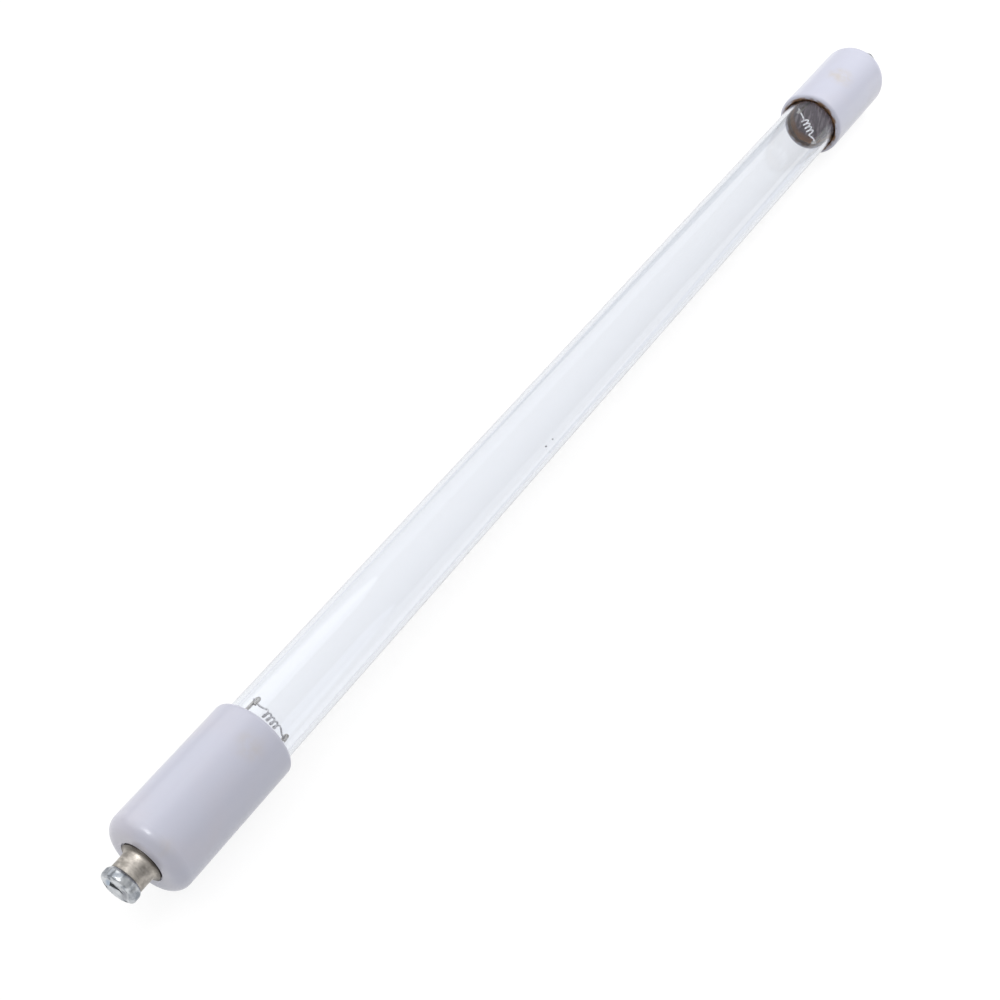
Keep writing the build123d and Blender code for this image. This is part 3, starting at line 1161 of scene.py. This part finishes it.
@dataclass
class StruckTip(EndPiece):
    """The solder that closes one pin: an uneven bead, struck hollow by a four-sided punch."""

    suffix = "struck_tip"
    slot = "solder"
    stands_for = "tip_solder"

    radius: float = 4.15 * MM
    neck_radius: float = 3.6 * MM
    length: float = 2.5 * MM  # from the bare neck to the tip
    swell: float = 0.9 * MM
    corner: float = 0.8 * MM
    plug_radius: float = 2.78 * MM
    plug_length: float = 2.2 * MM
    cover_radius: float = 3.27 * MM
    cover_depth: float = 0.88 * MM
    hollow_length: float = 5.8 * MM
    hollow_width: float = 4.6 * MM
    hollow_depth: float = 0.42 * MM
    lobe: float = 0.30 * MM  # how far the bead's outline wanders inwards
    lobes: int = 4  # one at each side of the punch
    dents: tuple = (0.3, 7, 1.1)  # height, number round and phase of smaller ones between them
    roughness: float = 0.06 * MM  # how far its face wanders
    rough_wave: tuple = (3, 0.9)  # number round and phase of that
    smooth_radius: float = 2.0 * MM  # inside it the face wanders less
    margin: float = 0.01 * MM  # past the cover's radius, where the bead's own skin starts
    segments: int = 128
    face_rings: int = 26
    bend_steps: int = 8

    def section(self) -> list[tuple[float, float]]:
        """Draws half the smooth bead's section, from the axis round and back to it.

        Returns:
            The depth below the tip and the radius of each point.
        """
        flat = self.radius - self.corner
        points = [(0.0, flat * ring / self.face_rings) for ring in range(self.face_rings)]
        points += [(back, flat + out) for back, out in corner_points(self.corner, self.bend_steps)]
        start = self.length - self.swell
        for index in range(self.bend_steps + 1):
            share = index / self.bend_steps
            ease = math.sin(math.pi / 2 * (1 - share))
            radius = self.neck_radius + (self.radius - self.neck_radius) * ease
            points.append((start + self.swell * share, radius))
        points += [(self.length, self.cover_radius), (self.cover_depth, self.cover_radius)]
        points += [(self.cover_depth, self.plug_radius), (self.plug_length, self.plug_radius)]
        points.append((self.plug_length, 0.0))
        return points

    def struck_depth(self, across: float, upward: float) -> float:
        """How deep the punch went at one place of the face.

        Args:
            across: The place along Y, metres.
            upward: The place along Z, metres.

        Returns:
            The depth in metres.
        """
        run, over = along_slit(across, upward)
        reach = max(abs(run) / (self.hollow_length / 2), abs(over) / (self.hollow_width / 2))
        return self.hollow_depth * max(0.0, 1.0 - reach)

    def strike(self, vertex: BMVert) -> None:
        """Moves one point of the smooth bead to its place on the struck one.

        Args:
            vertex: The point.
        """
        side = self.end.side
        across, upward = vertex.co.y, vertex.co.z
        radius = math.hypot(across, upward)
        depth = side * (self.place - vertex.co.x)
        turn = math.atan2(upward, across) - SLIT_TURN
        if radius > self.cover_radius + self.margin:
            height, count, phase = self.dents
            wander = 0.5 - 0.5 * math.cos(self.lobes * turn)
            wander += height * math.sin(count * turn + phase) ** 2
            share = min(1.0, (self.length - depth) / self.swell)
            shrink = 1.0 - self.lobe * wander * share / radius
            vertex.co.y *= shrink
            vertex.co.z *= shrink
        if depth < self.cover_depth and radius < self.radius:
            count, phase = self.rough_wave
            rough = self.roughness * (1 + math.sin(count * turn + phase))
            rough *= min(1.0, radius / self.smooth_radius) * max(0.0, 1.0 - depth / self.corner)
            vertex.co.x -= side * (self.struck_depth(across, upward) + rough)

    def shape(self) -> BMesh:
        """Makes the bead.

        Returns:
            The mesh.
        """
        side = self.end.side
        section = self.section()
        places = [Vector((self.place - side * depth, 0, radius)) for depth, radius in section]
        shape = turned(places, self.segments)
        for vertex in shape.verts:
            self.strike(vertex)
        return shape


@dataclass
class Lamp:
    """The whole lamp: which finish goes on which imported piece, and the added pieces."""

    hollow_depth: float = 5.4 * MM  # from a filament to the end of the hollow
    bead_inset: float = 0.45 * MM
    left_film: float = 0.8 * MM  # how far each end's dark film comes forward
    right_film: float = 4.4 * MM

    def build(self) -> None:
        """Dresses every piece of the lamp."""
        stations = [Stations.read(end) for end in End]
        right = stations[1]
        ceramic = CeramicFinish(right.mouth).material()
        plate = PlatedFinish(right.cap_face).material()
        solder = SolderFinish(right.tip).material()
        cement = CementFinish(right.mouth).material()
        nickel = NICKEL.material()
        foil = MOLYBDENUM.material()
        tungsten = {End.LEFT: TUNGSTEN.material(), End.RIGHT: BRIGHTER_GLOWING_TUNGSTEN.material()}
        glass = QuartzFinish().material()
        recolour("quartz_tube", glass)
        Envelope(stations, self.hollow_depth).build(glass)
        recolour("mercury_beads", MercuryFinish().material())
        for station in stations:
            end = station.end
            name = end.prefix
            recolour(f"{name}_ceramic_cap", ceramic)
            recolour(f"{name}_contact_pin", plate)
            recolour(f"{name}_tip_solder", solder)
            recolour(f"{name}_base_cement", cement)
            recolour(f"{name}_filament", tungsten[end])
            for row in ("lower", "upper"):
                recolour(f"{name}_{row}_inner_lead", nickel)
                recolour(f"{name}_{row}_outer_lead", nickel)
                recolour(f"{name}_{row}_foil", foil)
            Electrode(end, station.filament).build(tungsten[end])
            StruckTip(end, station.tip).build(solder)
            hollow_end = station.filament + end.side * self.hollow_depth
            film = self.left_film if end is End.LEFT else self.right_film
            deposit = DepositFinish(abs(hollow_end), film).material()
            EndDeposit(end, hollow_end, film).build(deposit)
            CementBead(end, station.mouth + end.side * self.bead_inset).build(cement)


def aim(thing: Object, place: tuple, direction: Vector) -> None:
    """Places a camera or a light, in metres, and points it, with no roll."""
    turn = direction.to_track_quat("-Z", "Y")
    thing.matrix_world = Matrix.Translation(place) @ turn.to_matrix().to_4x4()


@dataclass(frozen=True)
class SoftLight:
    """A square soft light that points at the lamp's axis."""

    name: str
    place: tuple  # metres
    size: float  # metres
    power: float  # watts
    mirrored: bool = True  # whether it shows in gloss
    through_glass: bool = True  # whether it shows through glass
    lights: bool = True  # whether it lights matt surfaces
    target_share: float = 1 / 3  # how far along X it points, as a share of how far it stands

    def add(self) -> None:
        """Adds the light."""
        data = bpy.data.lights.new(self.name, "AREA")
        data.size = self.size
        data.energy = self.power
        light = add_object(self.name, data)
        light.visible_glossy = self.mirrored
        light.visible_transmission = self.through_glass
        light.visible_diffuse = self.lights
        target = X_AXIS * (self.place[0] * self.target_share)
        aim(light, self.place, target - Vector(self.place))


@dataclass
class Studio:
    """Plain white floor, soft light and the photograph's camera."""

    floor_height: float
    camera_place: tuple = (-0.25287, -0.13759, 0.25573)
    camera_forward: tuple = (0.58100, 0.37290, -0.72330)
    focal_pixels: float = 1577.0
    frame_pixels: float = 1000.0
    sensor: float = 36.0
    view_range: tuple = (0.01, 50.0)
    floor_size: float = 8.0
    floor_albedo: float = 0.63  # for the light that the floor throws back
    seen_albedo: float = 0.18
    seen_glow: float = 0.86
    horizon_level: float = 0.50
    zenith_level: float = 0.80
    lights: tuple = (
        SoftLight("key", (-0.15, 0.75, 0.95), 1.6, 7.6),
        SoftLight("far_fill", (0.40, -0.10, 0.35), 0.3, 1.1, mirrored=False, through_glass=False),
        SoftLight("spark", (-0.362, 0.090, 0.565), 0.2, 1.0, through_glass=False, lights=False),
    )

    def add_camera(self) -> None:
        """Sets up the camera from its place and direction."""
        data = bpy.data.cameras.new("camera")
        data.sensor_width = self.sensor
        data.lens = self.focal_pixels / self.frame_pixels * self.sensor
        data.clip_start, data.clip_end = self.view_range
        camera = add_object("camera", data)
        aim(camera, self.camera_place, Vector(self.camera_forward))
        bpy.context.scene.camera = camera

    def seen(self, shader: Shader) -> Signal:
        """Finds the rays to which the floor is a white ground and not a source of light.

        Args:
            shader: The floor's nodes.

        Returns:
            One for rays from the camera, from gloss and through glass.
        """
        path = shader.node("ShaderNodeLightPath", {}, {})
        rays = ("Is Camera Ray", "Is Glossy Ray", "Is Transmission Ray")
        camera, gloss, through = (Signal(shader, path.outputs[ray]) for ray in rays)
        return camera + gloss + through > 0.5

    def add_floor(self) -> None:
        """Lays the floor, white as seen and grey for the light that it throws back."""
        shape = bmesh.new()
        bmesh.ops.create_grid(shape, x_segments=1, y_segments=1, size=self.floor_size / 2)
        bmesh.ops.translate(shape, vec=(0, 0, self.floor_height), verts=shape.verts)
        mesh = bpy.data.meshes.new("floor")
        shape.to_mesh(mesh)
        shape.free()
        shader = Shader("floor")
        kind = "ShaderNodeBsdfDiffuse"
        matt = shader.node(kind, {}, {"Color": (self.floor_albedo,) * 3}).outputs[0]
        pale = shader.node(kind, {}, {"Color": (self.seen_albedo,) * 3}).outputs[0]
        glow = shader.node("ShaderNodeEmission", {}, {"Strength": self.seen_glow}).outputs[0]
        both = shader.node("ShaderNodeAddShader", {}, {0: pale, 1: glow}).outputs[0]
        mixed = shader.node("ShaderNodeMixShader", {}, {0: self.seen(shader), 1: matt, 2: both})
        mesh.materials.append(shader.close(mixed))
        add_object("floor", mesh)

    def add_world(self) -> None:
        """Surrounds the lamp with soft light, dimmer near the horizon, white where it is seen."""
        sky = Shader("studio", world=True)
        kind = "ShaderNodeMapRange"
        direction = sky.node("ShaderNodeTexCoord", {}, {}).outputs["Generated"]
        rise = sky.node("ShaderNodeSeparateXYZ", {}, {0: direction}).outputs["Z"]
        levels = {"Value": rise, "To Min": self.horizon_level, "To Max": self.zenith_level}
        soft = sky.node(kind, {}, levels).outputs["Result"]
        camera = sky.node("ShaderNodeLightPath", {}, {}).outputs["Is Camera Ray"]
        levels = {"Value": camera, "To Min": soft, "To Max": 1.0}
        level = sky.node(kind, {}, levels).outputs["Result"]
        white = {"Color": (1.0, 1.0, 1.0), "Strength": level}
        bpy.context.scene.world = sky.close(sky.node("ShaderNodeBackground", {}, white))

    def build(self) -> None:
        """Builds the whole stage."""
        bpy.context.scene.view_settings.view_transform = "Standard"
        self.add_camera()
        self.add_floor()
        self.add_world()
        for light in self.lights:
            light.add()


def main() -> None:
    """Dresses the lamp and builds the stage."""
    logging.basicConfig(level=logging.INFO, format="%(message)s")
    Lamp().build()
    Studio(floor_height=CAD_BOX[0][2]).build()


if __name__ == "__main__":
    main()
